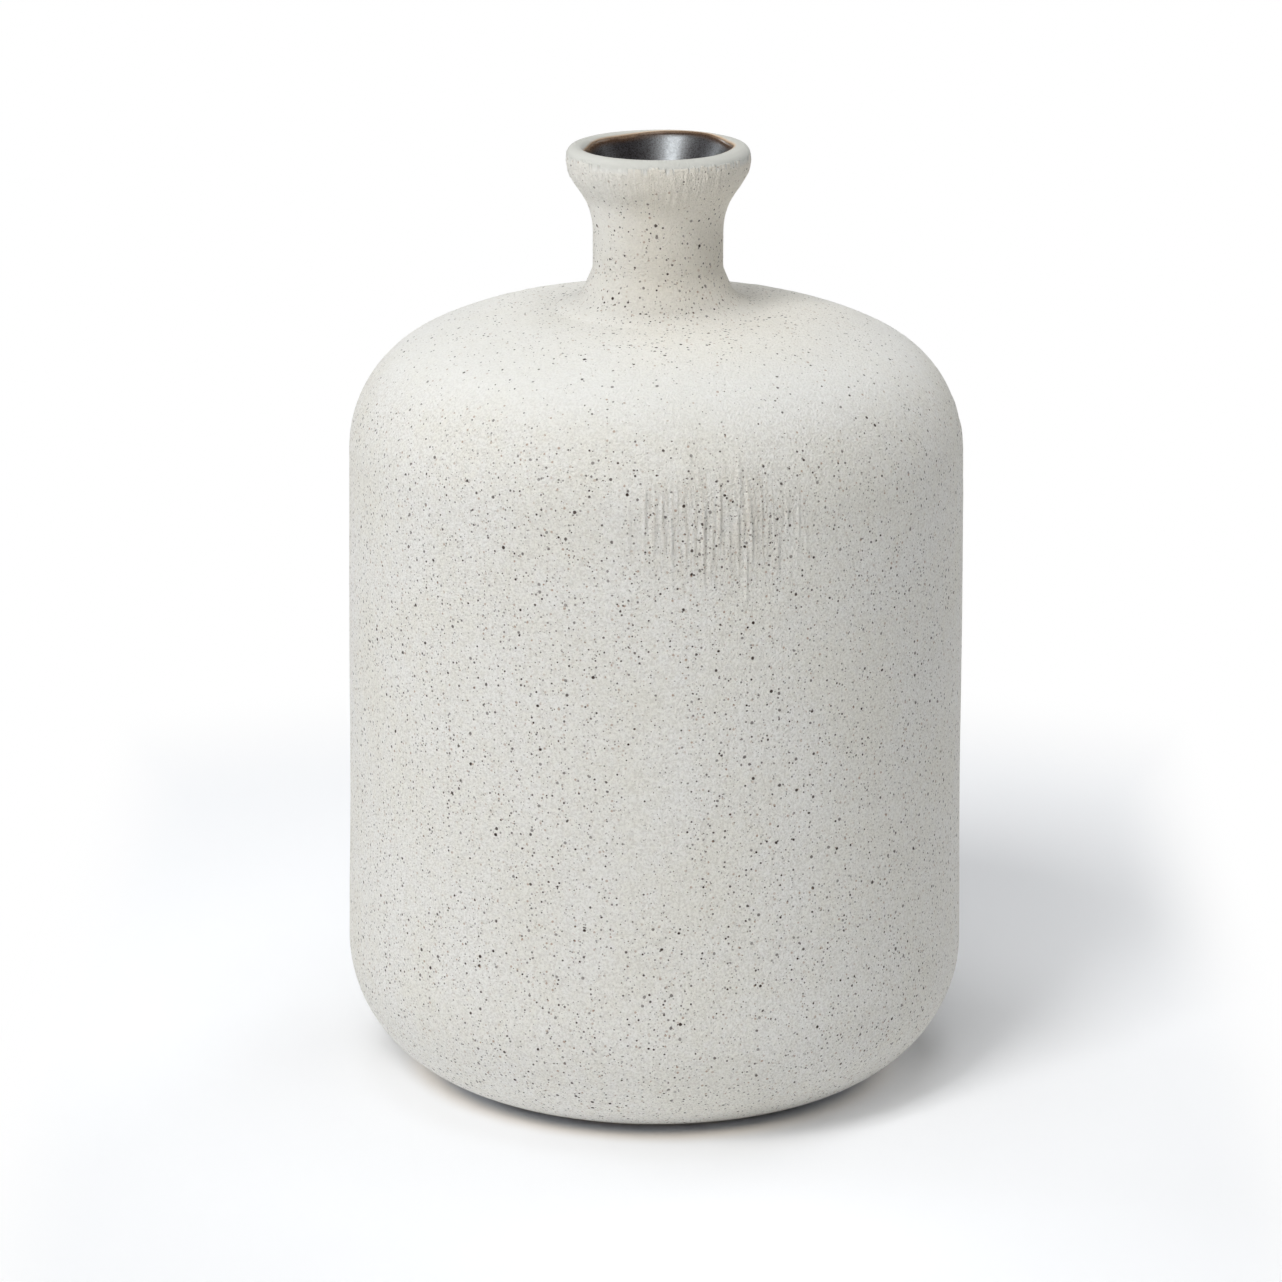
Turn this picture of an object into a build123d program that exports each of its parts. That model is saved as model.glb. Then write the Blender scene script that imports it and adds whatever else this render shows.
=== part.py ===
from build123d import *
import os
from math import acos, cos, degrees, radians, sin

# A stoneware bottle vase, turned about the Z axis and standing on Z = 0. Millimetres and degrees.
# A fired clay shell carries two coats: a pale matt slip outside and a dark glaze inside.
# Each outline is drawn at an inset from the vase's outer face, so the coats and the clay meet exactly.

# Body
body_radius = 70.0
wall_height = 114.0
wall_lean = 0.67  # the wall draws in by this angle towards the shoulder
base_corner_radius = 30.5

# Shoulder
shoulder_radius = 28.0
shoulder_sweep = 63.7
crown_radius = 67.5

# Neck and bell
neck_radius = 14.5
neck_height = 7.2  # straight stretch between the fillet below and the flare above
neck_foot_radius = 10.2
throat_edge_radius = 9.0  # edge inside, where the ceiling of the body turns up into the throat
flare_radius = 15.7
flare_sweep = 35.5
flare_length = 1.9
bell_radius = 10.0

# Mouth inside: a funnel that runs down into the throat
funnel_tilt = 35.0  # from upright
funnel_foot_radius = 14.0

# Lip
lip_radius = 2.05  # half of the wall's thickness, coats included
lip_tilt = 4.5  # angle above level at which the bell runs into the lip

# Slip coat outside
coat_thickness = 0.5
coat_hem_angle = 74.0  # below this angle of the base corner the coat is wiped off
coat_hem_height = 0.6  # from the table up to the hem

# Glaze lining inside
glaze_thickness = 0.5
glaze_climb_angle = 15.0  # how far the glaze climbs over the lip from the top of the funnel
bare_lip_width = 0.4  # line of bare clay between the glaze and the slip

# Floor and foot
floor_height = 6.4  # top of the clay floor above the table
foot_set_in = 1.4  # from the hem to the foot's outer edge
foot_width = 6.0
foot_recess = 1.6
foot_recess_draft = 0.8  # how far the recess narrows towards its roof

# Insets of the four faces: the slip's outer face has none
clay_outside = coat_thickness
clay_inside = 2 * lip_radius - coat_thickness
glaze_face = clay_inside + glaze_thickness

# Centre of the base corner, and the angles at which the two coats end on the lip
corner_x = body_radius - base_corner_radius
corner_z = coat_hem_height + base_corner_radius * sin(radians(coat_hem_angle))
clay_lip_radius = lip_radius - coat_thickness
funnel_top_angle = 180 - funnel_tilt
glaze_edge_angle = funnel_top_angle - glaze_climb_angle
coat_edge_angle = glaze_edge_angle - degrees(bare_lip_width / clay_lip_radius)

# Centre of the crown's arc, from the wall's top and the shoulder's arc
wall_length = wall_height / cos(radians(wall_lean))
shoulder_end = wall_lean + shoulder_sweep
shoulder_reach = base_corner_radius - shoulder_radius
crown_drop = crown_radius - shoulder_radius
crown_x = (
    corner_x
    + shoulder_reach * cos(radians(wall_lean))
    - wall_length * sin(radians(wall_lean))
    - crown_drop * cos(radians(shoulder_end))
)
crown_z = (
    corner_z
    + shoulder_reach * sin(radians(wall_lean))
    + wall_length * cos(radians(wall_lean))
    - crown_drop * sin(radians(shoulder_end))
)


def crown_end(inset, foot_radius):
    """Angle at which the crown, at an inset, meets the arc that turns it up into the neck."""
    run = neck_radius - inset + foot_radius - crown_x
    return degrees(acos(run / (crown_radius - inset + foot_radius)))


neck_foot_top = crown_z + (crown_radius + neck_foot_radius) * sin(
    radians(crown_end(0, neck_foot_radius))
)
flare_start = neck_foot_top + neck_height


def draw_base_corner(inset):
    """The arc between the hem and the wall."""
    centre = (corner_x, corner_z)
    sweep = coat_hem_angle + wall_lean
    return CenterArc(centre, base_corner_radius - inset, -coat_hem_angle, sweep)


def draw_wall(inset):
    """The straight wall between the base corner and the shoulder."""
    reach = base_corner_radius - inset
    foot_x = corner_x + reach * cos(radians(wall_lean))
    foot_z = corner_z + reach * sin(radians(wall_lean))
    return PolarLine((foot_x, foot_z), wall_length, 90 + wall_lean)


def draw_shoulder(wall, inset, foot_radius):
    """The shoulder and crown above a wall, and the arc that turns them up into the neck."""
    crown_sweep = crown_end(inset, foot_radius) - shoulder_end
    shoulder = JernArc(wall @ 1, wall % 1, shoulder_radius - inset, shoulder_sweep)
    crown = JernArc(shoulder @ 1, shoulder % 1, crown_radius - inset, crown_sweep)
    return JernArc(crown @ 1, crown % 1, foot_radius, -shoulder_end - crown_sweep)


def draw_neck(wall, inset):
    """All of the outside above a wall: shoulder, crown, neck and bell, up to the lip."""
    neck_foot = draw_shoulder(wall, inset, neck_foot_radius + inset)
    neck = Line(neck_foot @ 1, (neck_radius - inset, flare_start))
    flare = JernArc(neck @ 1, neck % 1, flare_radius + inset, -flare_sweep)
    rise = PolarLine(flare @ 1, flare_length, 90 - flare_sweep)
    return JernArc(rise @ 1, rise % 1, bell_radius - inset, flare_sweep + lip_tilt)


def draw_mouth(wall, inset, lip_centre):
    """All of the inside above a wall: ceiling, throat and the funnel up to the lip."""
    glaze = inset - clay_inside
    ceiling = draw_shoulder(wall, inset, throat_edge_radius + glaze)
    lip_normal = Vector(-cos(radians(funnel_tilt)), sin(radians(funnel_tilt)))
    funnel_top = lip_centre + (inset - lip_radius) * lip_normal
    foot_radius = funnel_foot_radius + glaze
    foot_run = foot_radius * (1 - cos(radians(funnel_tilt)))
    funnel_run = funnel_top.X - (neck_radius - inset) - foot_run
    funnel = PolarLine(funnel_top, funnel_run / sin(radians(funnel_tilt)), 270 - funnel_tilt)
    funnel_foot = JernArc(funnel @ 1, funnel % 1, foot_radius, funnel_tilt)
    return Line(funnel_foot @ 1, ceiling @ 1)


def draw_inner_base(wall, clay_inset):
    """The corner at the foot of an inner wall and the floor, in from there to the axis."""
    floor_z = floor_height + clay_inset
    corner_radius = ((wall @ 0).Y - floor_z) / (1 + sin(radians(wall_lean)))
    corner = JernArc(wall @ 0, -(wall % 0), corner_radius, -90 - wall_lean)
    return Line(corner @ 1, (0, floor_z))


# Slip coat: a skin over the outside, from the hem above the foot to the top of the lip
with BuildPart() as slip_coat:
    with BuildSketch(Plane.XZ):
        with BuildLine():
            face_hem = draw_base_corner(0) @ 0
            face_bell = draw_neck(draw_wall(0), 0)
            lip_reach = Vector(cos(radians(lip_tilt)), sin(radians(lip_tilt)))
            centre = face_bell @ 1 - lip_radius * lip_reach
            face_lip = CenterArc(centre, lip_radius, lip_tilt, coat_edge_angle - lip_tilt)
            back_hem = draw_base_corner(clay_outside) @ 0
            draw_neck(draw_wall(clay_outside), clay_outside)
            back_lip = CenterArc(centre, clay_lip_radius, lip_tilt, coat_edge_angle - lip_tilt)
            Line(face_lip @ 1, back_lip @ 1)
            Line(face_hem, back_hem)
        make_face()
    revolve(axis=Axis.Z)

# Stoneware body: the fired clay shell with its floor, foot ring and lip
with BuildPart() as stoneware_body:
    with BuildSketch(Plane.XZ):
        with BuildLine():
            hem = draw_base_corner(clay_outside) @ 0
            draw_neck(draw_wall(clay_outside), clay_outside)
            CenterArc(centre, clay_lip_radius, lip_tilt, funnel_top_angle - lip_tilt)
            inner_wall = draw_wall(clay_inside)
            draw_mouth(inner_wall, clay_inside, centre)
            clay_floor = draw_inner_base(inner_wall, 0)
            foot_outer_x = hem.X - foot_set_in
            foot_inner_x = foot_outer_x - foot_width
            Polyline(
                hem,
                (foot_outer_x, 0),
                (foot_inner_x, 0),
                (foot_inner_x - foot_recess_draft, foot_recess),
                (0, foot_recess),
                clay_floor @ 1,
            )
        make_face()
    revolve(axis=Axis.Z)

# Glaze lining: a glassy skin over the inside, from the lip down to the middle of the floor
with BuildPart() as glaze_lining:
    with BuildSketch(Plane.XZ):
        with BuildLine():
            back_wall = draw_wall(clay_inside)
            draw_mouth(back_wall, clay_inside, centre)
            back_floor = draw_inner_base(back_wall, 0)
            face_wall = draw_wall(glaze_face)
            throat = draw_mouth(face_wall, glaze_face, centre)
            face_floor = draw_inner_base(face_wall, glaze_thickness)
            climb = (glaze_edge_angle, glaze_climb_angle)
            back_edge = CenterArc(centre, clay_lip_radius, *climb)
            face_edge = CenterArc(centre, lip_radius, *climb)
            Line(back_edge @ 0, face_edge @ 0)
            Line(back_floor @ 1, face_floor @ 1)
        make_face()
    revolve(axis=Axis.Z)

stoneware_body.part.label = "stoneware_body"
slip_coat.part.label = "slip_coat"
glaze_lining.part.label = "glaze_lining"

os.makedirs("parts", exist_ok=True)
export_step(stoneware_body.part, "parts/stoneware_body.step")
export_step(slip_coat.part, "parts/slip_coat.step")
export_step(glaze_lining.part, "parts/glaze_lining.step")

print("height", round(slip_coat.part.bounding_box().max.Z, 3))
print("throat radius", round((throat @ 0).X, 3))
print("throat from", round((throat @ 1).Y, 3), "to", round((throat @ 0).Y, 3))
print("lip centre", round(centre.X, 3), round(centre.Y, 3))
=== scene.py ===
import math
import random

import bmesh
import bpy
from mathutils import Matrix, Vector, noise


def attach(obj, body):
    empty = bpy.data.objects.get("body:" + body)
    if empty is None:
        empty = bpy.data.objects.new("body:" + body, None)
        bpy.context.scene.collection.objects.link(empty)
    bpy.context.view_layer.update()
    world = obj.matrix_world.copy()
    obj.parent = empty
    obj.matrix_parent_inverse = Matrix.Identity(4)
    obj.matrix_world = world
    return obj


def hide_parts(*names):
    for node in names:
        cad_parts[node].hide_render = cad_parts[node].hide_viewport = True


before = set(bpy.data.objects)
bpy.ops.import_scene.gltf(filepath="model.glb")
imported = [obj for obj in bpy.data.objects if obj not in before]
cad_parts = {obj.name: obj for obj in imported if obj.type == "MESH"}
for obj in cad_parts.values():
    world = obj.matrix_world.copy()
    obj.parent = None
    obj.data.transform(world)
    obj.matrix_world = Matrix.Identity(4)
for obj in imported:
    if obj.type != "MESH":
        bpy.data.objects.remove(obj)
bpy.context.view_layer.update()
mm = 0.001
weldWithin = 0.002                            # points closer than this, in millimetres, become one
levelWithin = 1e-6                            # an edge is level if its ends differ by less, in metres

# The vase's own outline, in millimetres and degrees, turned about Z
form = {
    "bodyRadius": 70.0,
    "wallHeight": 114.0,
    "wallLean": 0.67,
    "cornerRadius": 30.5,
    "shoulderRadius": 28.0,
    "shoulderSweep": 63.7,
    "crownRadius": 67.5,
    "neckRadius": 14.5,
    "neckHeight": 7.2,
    "neckFootRadius": 10.2,
    "throatEdgeRadius": 9.0,
    "flareRadius": 15.7,
    "flareSweep": 35.5,
    "flareLength": 1.9,
    "bellRadius": 10.0,
    "lipRadius": 2.05,
    "lipTilt": 4.5,
    "funnelTilt": 35.0,
    "funnelFootRadius": 14.0,
    "glazeClimb": 15.0,
    "hemAngle": 74.0,
    "hemHeight": 0.6,
    "floorHeight": 6.4,
    "coat": 0.5,
    "lining": 0.5,
}


def sine(degrees):
    return math.sin(math.radians(degrees))


def cosine(degrees):
    return math.cos(math.radians(degrees))


def smooth(value, low, high):                 # 0 below low, 1 above high, eased between them
    share = min(max((value - low) / (high - low), 0.0), 1.0)
    return share * share * (3 - 2 * share)


def within(value, low, lowFull, highFull, high):      # 1 between the inner two, 0 past the outer
    return smooth(value, low, lowFull) * (1 - smooth(value, highFull, high))


def hump(value, middle, width):               # 1 at the middle, falling off to both sides
    return math.exp(-((value - middle) / width) ** 2)


def circle(turn, radius, height):             # noise that is read on a circle closes round the vase
    return Vector((math.cos(turn) * radius, math.sin(turn) * radius, height))


def turnedFrom(degrees, middle):              # the shorter way round, from -180 to 180 degrees
    return (degrees - middle + 180) % 360 - 180


clayInside = 2 * form["lipRadius"] - form["coat"]
wallLength = form["wallHeight"] / cosine(form["wallLean"])
cornerX = form["bodyRadius"] - form["cornerRadius"]
cornerZ = form["hemHeight"] + form["cornerRadius"] * sine(form["hemAngle"])
shoulderEnd = form["wallLean"] + form["shoulderSweep"]
crownX = (cornerX + (form["cornerRadius"] - form["shoulderRadius"]) * cosine(form["wallLean"])
          - wallLength * sine(form["wallLean"])
          - (form["crownRadius"] - form["shoulderRadius"]) * cosine(shoulderEnd))
crownZ = (cornerZ + (form["cornerRadius"] - form["shoulderRadius"]) * sine(form["wallLean"])
          + form["wallHeight"]
          - (form["crownRadius"] - form["shoulderRadius"]) * sine(shoulderEnd))


def crownEnd(inset, footRadius):              # where the crown meets the bend up into the neck
    run = form["neckRadius"] - inset + footRadius - crownX
    return math.degrees(math.acos(run / (form["crownRadius"] - inset + footRadius)))


neckFootTop = crownZ + (form["crownRadius"] + form["neckFootRadius"]) * sine(
    crownEnd(0, form["neckFootRadius"]))
flareStart = neckFootTop + form["neckHeight"]
lipX = (form["neckRadius"] + form["flareRadius"] * (1 - cosine(form["flareSweep"]))
        + form["flareLength"] * sine(form["flareSweep"])
        + form["bellRadius"] * (cosine(form["lipTilt"]) - cosine(form["flareSweep"]))
        - form["lipRadius"] * cosine(form["lipTilt"]))
lipZ = (flareStart + form["flareRadius"] * sine(form["flareSweep"])
        + form["flareLength"] * cosine(form["flareSweep"])
        + form["bellRadius"] * (sine(form["lipTilt"]) + sine(form["flareSweep"]))
        - form["lipRadius"] * sine(form["lipTilt"]))
funnelTop = 180 - form["funnelTilt"]
coatEnd = funnelTop - form["glazeClimb"]
print("outline: lip centre", round(lipX, 3), round(lipZ, 3))


def lipPlace(angle, depth):                   # on the lip, and past its inner side on the funnel
    turned = min(angle, funnelTop)
    down = math.radians(angle - turned) * form["lipRadius"]
    reach = form["lipRadius"] - depth
    return (lipX + reach * cosine(turned) - down * sine(form["funnelTilt"]),
            lipZ + reach * sine(turned) - down * cosine(form["funnelTilt"]))


def lipSpot(radius, z):                       # the angle and depth of a place on the lip or funnel
    across, up = radius - lipX, z - lipZ
    down = -across * sine(form["funnelTilt"]) - up * cosine(form["funnelTilt"])
    if down > 0 and across < 0:
        reach = across * cosine(funnelTop) + up * sine(funnelTop)
        return funnelTop + math.degrees(down / form["lipRadius"]), form["lipRadius"] - reach
    return math.degrees(math.atan2(up, across)), form["lipRadius"] - math.hypot(across, up)


class Pen:                                    # draws an outline in the plane of X and Z
    def __init__(self, x, z, heading):
        bpy.ops.object.select_all(action="DESELECT")
        bpy.ops.mesh.primitive_plane_add(size=mm)
        bpy.ops.object.mode_set(mode="EDIT")
        bpy.ops.mesh.merge(type="CENTER")
        bpy.ops.transform.translate(value=(x * mm, 0, z * mm))
        self.x, self.z, self.heading, self.points = x, z, heading, 1

    def straight(self, length, steps):
        acrossStep = length * cosine(self.heading) / steps
        upStep = length * sine(self.heading) / steps
        for _ in range(steps):
            move = {"value": (acrossStep * mm, 0, upStep * mm)}
            bpy.ops.mesh.extrude_region_move(TRANSFORM_OT_translate=move)
        self.x += length * cosine(self.heading)
        self.z += length * sine(self.heading)
        self.points += steps

    def bend(self, radius, angle, steps):     # to the left for a positive angle
        side = math.copysign(1, angle)
        centreX = self.x - side * radius * sine(self.heading)
        centreZ = self.z + side * radius * cosine(self.heading)
        bpy.ops.mesh.spin(steps=steps, angle=math.radians(angle),
                          center=(centreX * mm, 0, centreZ * mm), axis=(0, 1, 0))
        self.heading += angle
        self.x = centreX + side * radius * sine(self.heading)
        self.z = centreZ - side * radius * cosine(self.heading)
        self.points += steps

    def draw(self, moves, fineness):          # fineness is the longest step in millimetres
        for radius, amount in moves:
            length = abs(amount) * math.pi / 180 * radius if radius else abs(amount)
            steps = max(2, round(length / fineness))
            if radius:
                self.bend(radius, amount, steps)
            else:
                self.straight(amount, steps)


def wallMoves(inset, footRadius):             # up the wall, over the crown and up into the neck
    crownSweep = crownEnd(inset, footRadius) - shoulderEnd
    return [
        (0, wallLength),
        (form["shoulderRadius"] - inset, form["shoulderSweep"]),
        (form["crownRadius"] - inset, crownSweep),
        (footRadius, -shoulderEnd - crownSweep),
    ]


def neckMoves(inset):                         # outside, from the neck's foot to the lip
    return [
        (0, form["neckHeight"]),
        (form["flareRadius"] + inset, -form["flareSweep"]),
        (0, form["flareLength"]),
        (form["bellRadius"] - inset, form["flareSweep"] + form["lipTilt"]),
    ]


def mouthMoves(inset, footRadius, edgeRadius):    # inside, from the throat's foot to the glaze edge
    topX, topZ = lipPlace(funnelTop, 2 * form["lipRadius"] - inset)
    bend = footRadius * (1 - cosine(form["funnelTilt"]))
    slant = (topX - (form["neckRadius"] - inset) - bend) / sine(form["funnelTilt"])
    throatTop = (topZ - slant * cosine(form["funnelTilt"])
                 - footRadius * sine(form["funnelTilt"]))
    throatFoot = crownZ + (form["crownRadius"] - inset + edgeRadius) * sine(
        crownEnd(inset, edgeRadius))
    return [
        (0, throatTop - throatFoot),
        (footRadius, -form["funnelTilt"]),
        (0, slant),
        (inset - form["lipRadius"], -form["glazeClimb"]),
    ]


def backwards(moves):                         # the same outline drawn from its far end
    return [(radius, -amount if radius else amount) for radius, amount in reversed(moves)]


def lathe(name, columns, facePoints):         # turns the outline that is being drawn about Z
    bpy.ops.object.mode_set(mode="OBJECT")
    piece = bpy.context.object
    piece.name = piece.data.name = name
    piece.vertex_groups.new(name="face").add(list(range(facePoints)), 1.0, "ADD")
    bpy.ops.object.mode_set(mode="EDIT")
    bpy.ops.mesh.select_all(action="SELECT")
    bpy.ops.mesh.spin(steps=columns, angle=math.tau, center=(0, 0, 0), axis=(0, 0, 1))
    bpy.ops.mesh.select_all(action="SELECT")
    bpy.ops.mesh.remove_doubles(threshold=weldWithin * mm)
    bpy.ops.mesh.normals_make_consistent(inside=False)
    bpy.ops.object.mode_set(mode="OBJECT")
    return piece


# the edge between slip and glaze runs unevenly over the lip, and a smaller angle lies higher up
glazeEdge = {
    "angle": 135.0,
    # each wave: degrees, count round the lip, phase
    "waves": [(14.7, 1, -64), (10.4, 2, 128), (3.9, 3, -35), (1.9, 4, 59), (4.4, 5, -120),
              (2.1, 6, 81), (3.3, 7, 58)],
    "sags": [(17, 104, 36), (10, -100, 30)],  # the slip runs further in here: degrees, turn, width
    "ripple": 2.0,
    "rippleCircle": (9, 9.1),                 # radius and height of the circle its noise is read on
    "gap": 0.05,                              # bare line between the two, in millimetres
    "flow": 200.0,                            # the glaze is drawn as turned from this angle on
}


def edgeAngle(turn):                          # where slip and glaze meet on the lip, in degrees
    angle = glazeEdge["angle"]
    for height, count, phase in glazeEdge["waves"]:
        angle += height * math.cos(count * turn - math.radians(phase))
    for height, middle, width in glazeEdge["sags"]:
        angle += height * hump(math.degrees(turn), middle, width)
    return angle + glazeEdge["ripple"] * noise.noise(circle(turn, *glazeEdge["rippleCircle"]))


def edgeDistance(angle, turn):                # along the lip from the edge, in millimetres
    return math.radians(angle - edgeAngle(turn)) * form["lipRadius"]


# Slip coat
slip = {
    "columns": 240,
    "fineness": 1.35,
    "lipFineness": 0.35,
    "backFineness": 9.0,
    "lipBackFineness": 0.9,
    "hemSteps": 4,
    "faceInset": 0.06,                        # mean depth of the worked face under the turned one
    "deepest": 0.40,                          # the relief takes no point deeper than this
    "hemWave": 1.6,                           # degrees that the wiped hem wanders
    "hemWaveCount": 3.1,
    "hemSpan": (-74, -50),                    # it fades out between these angles of the corner
    "reliefFrom": (0.6, 3.0),                 # the relief begins between these heights
    "wobble": 0.05,
    "wobbleSize": 38.0,
    "dimple": 0.03,
    "dimpleSize": 9.0,
    "waist": 0.22,                            # the wall draws in a little at half height
    "waistAt": (68, 26),                      # middle and width
    "leanShoulder": 0.30,                     # the right shoulder is a little less full
    "shoulderAt": (134, 144, 152, 162),
    "leanNeck": 0.15,                         # the neck stands a little to the right
    "leanFrom": (168, 180),
    "lipTip": 0.0055,                         # the lip rises to the right by this slope
    "tipFrom": (168, 198),
    "tipPivot": form["bodyRadius"] / 3,       # the side-to-side place that keeps its height
    "lipFill": 0.60,                          # the lip is fuller inside, on its right
    "fillTurn": (80, 40),                     # middle and width, in degrees round the lip
    "fillAngle": (98, 134),                   # it grows between these angles over the lip
    "skin": (-0.1, 0.6),                      # depths that still belong to the coat on the lip
    "faceMargin": 0.05,                       # the face ends this far above the back
    "thinEdge": 0.10,                         # how far the slip thins towards the glaze
    "thinReach": 0.7,                         # over this distance from the glaze
    "calmReach": 2.0,                         # the relief is whole again at this distance
    "farEdge": 6.0,                           # distance from the glaze given to all other points
    "scraped": 0.10,                          # how far the streaked patches lie deeper
    "smoothLip": 0.05,                        # how far the wiped top of the lip lies deeper
    "wipedRise": 0.15,                        # the wiping ends this far above the lip's centre
    "wipedWaves": [(0.45, 2.2), (0.5, 16), (0.35, 38)],     # height and fineness of each wave
    "wipedCircle": 0.3,                       # height of the circle that their noise is read on
    "wipedFade": 0.15,
    # where brush strokes stand out under the shoulder: turn, height, half width, half height, count
    "patches": [(11, 143, 20, 16, 72), (104, 146, 14, 12, 34), (171, 140, 19, 18, 56),
                (-118, 147, 16, 13, 38)],
    "patchRagged": 0.25,
    "patchGrain": (4, 9),                     # degrees and millimetres
    "patchFade": (0.45, 1.05),                # from the middle, as a share of the half sizes
    "patchSpread": (0.42, 0.36),              # of the strokes, across and up
    # bands of strokes all the way round: radius, height, half height, count, half length, rise
    "bands": [(20.4, 209.2, 0.7, 110, 1.3, 0.15), (20.5, 206.5, 2.2, 150, 1.9, 0.15),
              (24.0, 170.5, 5.0, 80, 5.5, 0.07)],
    "bandSpread": 0.6,
    "bandLength": (0.5, 1.5),                 # shares of a band's length and rise
    "bandRise": (0.3, 1.3),
    "strokeSeed": 11,
    "strokeWidth": (0.33, 0.60),              # half widths
    "strokeLength": (3.0, 8.0),               # half lengths
    "strokeRise": (0.10, 0.27),
    "strokeFlank": 1.5,                       # a stroke ends at this many half widths
    "strokeCrest": 0.6,                       # over 0.5 it has a faint groove along each side
    "strokeTaper": 0.5,                       # from this share of its half length on
    "sway": 0.25,
    "swayLength": 3,
    "inward": 0.4,                            # how much running in over the crown counts as up
    # how strongly the neck's foot and the bell are streaked, and where
    "neckFootShare": 0.6,
    "neckFootRadius": (14, 18, 27, 38),
    "neckFootFrom": (165, 170),
    "neckFootEven": 0.65,                     # the rest of it swells and fades round the neck
    "neckFootSwell": (3, 1.0),                # count and phase
    "bellFrom": (199, 204),
    # cuts of each column where strokes stand out, and where these begin and end
    "cuts": {"patches": 7, "lip": 2, "neckFoot": 1},
    "patchCut": 0.02,
    "lipCut": (199, lipZ + 1.4),
    "neckFootCut": (166, 178),
}


def neckShift(z):
    return slip["leanNeck"] * smooth(z, *slip["leanFrom"])


def lipDrop(x, z):                            # the lip and neck tip down towards the left
    return slip["lipTip"] * (x - slip["tipPivot"]) * smooth(z, *slip["tipFrom"])


def patchShare(turn, z):                      # how far inside a streaked patch a place lies
    best = 0.0
    for middle, height, halfTurn, halfHeight, _ in slip["patches"]:
        across = turnedFrom(math.degrees(turn), middle)
        grainTurn, grainHeight = slip["patchGrain"]
        grain = noise.noise(Vector((across / grainTurn, z / grainHeight, middle)))
        away = math.hypot(across / halfTurn, (z - height) / halfHeight)
        best = max(best, 1 - smooth(away + slip["patchRagged"] * grain, *slip["patchFade"]))
    return best


def upOutline(radius, z):                     # grows up the wall, in over the crown and up the bell
    return z - slip["inward"] * radius


def layStrokes():                             # each stroke is kept under the whole degrees it touches
    chance = random.Random(slip["strokeSeed"])
    strokes = {}

    def lay(turn, along, radius, halfWidth, halfLength, rise):
        reach = math.degrees(halfWidth / radius) * slip["strokeFlank"]
        for degree in range(math.floor(turn - reach), math.floor(turn + reach) + 1):
            strokes.setdefault(degree % 360, []).append((turn, along, halfWidth, halfLength, rise))

    spreadAcross, spreadUp = slip["patchSpread"]
    for middle, height, halfTurn, halfHeight, count in slip["patches"]:
        for _ in range(count):
            turn = middle + chance.gauss(0, spreadAcross) * halfTurn
            along = upOutline(form["bodyRadius"], height + chance.gauss(0, spreadUp) * halfHeight)
            lay(turn, along, form["bodyRadius"], chance.uniform(*slip["strokeWidth"]),
                chance.uniform(*slip["strokeLength"]), chance.uniform(*slip["strokeRise"]))
    for radius, height, halfHeight, count, halfLength, rise in slip["bands"]:
        for _ in range(count):
            along = upOutline(radius, height + chance.gauss(0, slip["bandSpread"]) * halfHeight)
            lay(chance.uniform(0, 360), along, radius, chance.uniform(*slip["strokeWidth"]),
                halfLength * chance.uniform(*slip["bandLength"]),
                rise * chance.uniform(*slip["bandRise"]))
    return strokes


strokes = layStrokes()


def strokeRise(turn, radius, z):              # how high the strokes stand at a place on the face
    turned = math.degrees(turn) % 360
    along = upOutline(radius, z)
    flank, crest = slip["strokeFlank"], slip["strokeCrest"]
    rise = 0.0
    for middle, centre, halfWidth, halfLength, top in strokes.get(math.floor(turned), []):
        sway = slip["sway"] * noise.noise(Vector((middle, along / slip["swayLength"], 0)))
        across = math.radians(turnedFrom(turned, middle)) * radius / halfWidth + sway
        reach = abs(along - centre) / halfLength
        if abs(across) < flank and reach < 1:
            ridge = math.cos(across * math.pi / flank) * crest + (1 - crest)
            rise += top * ridge * (1 - smooth(reach, slip["strokeTaper"], 1))
    return rise


def wipedEdge(turn):                          # the ragged height down to which the lip is wiped
    place = circle(turn, 1, slip["wipedCircle"])
    edge = lipZ + slip["wipedRise"]
    for height, fineness in slip["wipedWaves"]:
        edge += height * noise.noise(place * fineness)
    return edge


def slipRelief(turn, radius, z):              # how far the face stands out, and how streaked it is
    place = Vector((math.sin(turn) * radius, -math.cos(turn) * radius, z))
    out = slip["wobble"] * noise.noise(place / slip["wobbleSize"])
    out += slip["dimple"] * noise.noise(place / slip["dimpleSize"])
    right = max(math.sin(turn), 0.0) ** 2
    out -= slip["waist"] * hump(z, *slip["waistAt"])
    out -= slip["leanShoulder"] * right * within(z, *slip["shoulderAt"])
    patch = patchShare(turn, z)
    neckFoot = within(radius, *slip["neckFootRadius"]) * smooth(z, *slip["neckFootFrom"])
    count, phase = slip["neckFootSwell"]
    even = slip["neckFootEven"]
    neckFoot *= even + (1 - even) * math.sin(count * turn + phase)
    wiped = smooth(z - wipedEdge(turn), -slip["wipedFade"], slip["wipedFade"])
    underLip = smooth(z, *slip["bellFrom"]) * (1 - wiped)
    out += (1 - wiped) * strokeRise(turn, radius, z)
    out -= slip["scraped"] * patch + slip["smoothLip"] * wiped
    out = max(out, slip["faceInset"] - slip["deepest"])
    return out, min(1.0, patch + slip["neckFootShare"] * neckFoot + underLip), wiped


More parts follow.
